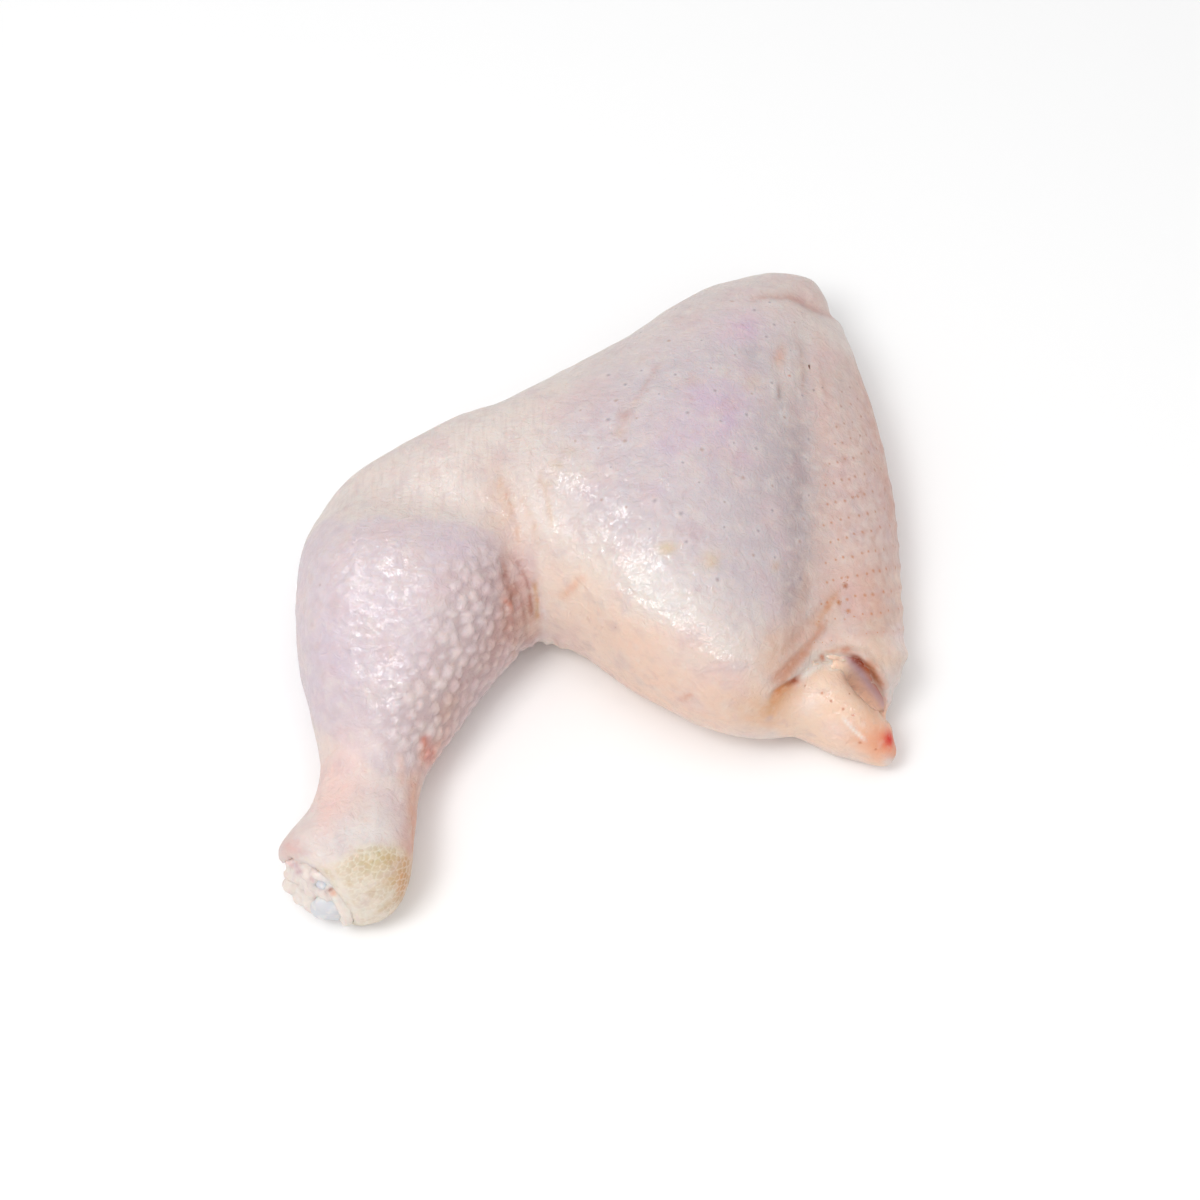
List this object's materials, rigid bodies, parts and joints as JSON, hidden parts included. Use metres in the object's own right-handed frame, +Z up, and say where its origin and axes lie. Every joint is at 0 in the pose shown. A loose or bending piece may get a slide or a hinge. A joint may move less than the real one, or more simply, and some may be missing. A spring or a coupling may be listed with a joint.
{
  "type": "raw chicken leg quarter",
  "caption": "Raw skin-on chicken leg quarter: thigh with back skin and tail, knee bent, and drumstick ending at the cut hock joint.",
  "frame": {"origin": "bottom centre of the whole object's box, on the surface that the leg lies on", "axes": "+Z up through the skin side, +X from the drumstick towards the cut side of the back, +Y from the hock towards the far corner of the thigh"},
  "size_m": [0.1382, 0.1654, 0.0484],
  "materials": {
    "wet_skin": "wet raw poultry skin",
    "white_tissue": "moist white tissue",
    "gristle": "smooth wet cartilage",
    "bare_flesh": "moist bare flesh"
  },
  "bodies": {
    "root": {"leg_quarter": "wet_skin", "hock_tissue": "white_tissue", "hock_cartilage": "gristle", "slit_flesh": "bare_flesh"}
  },
  "joints": []
}
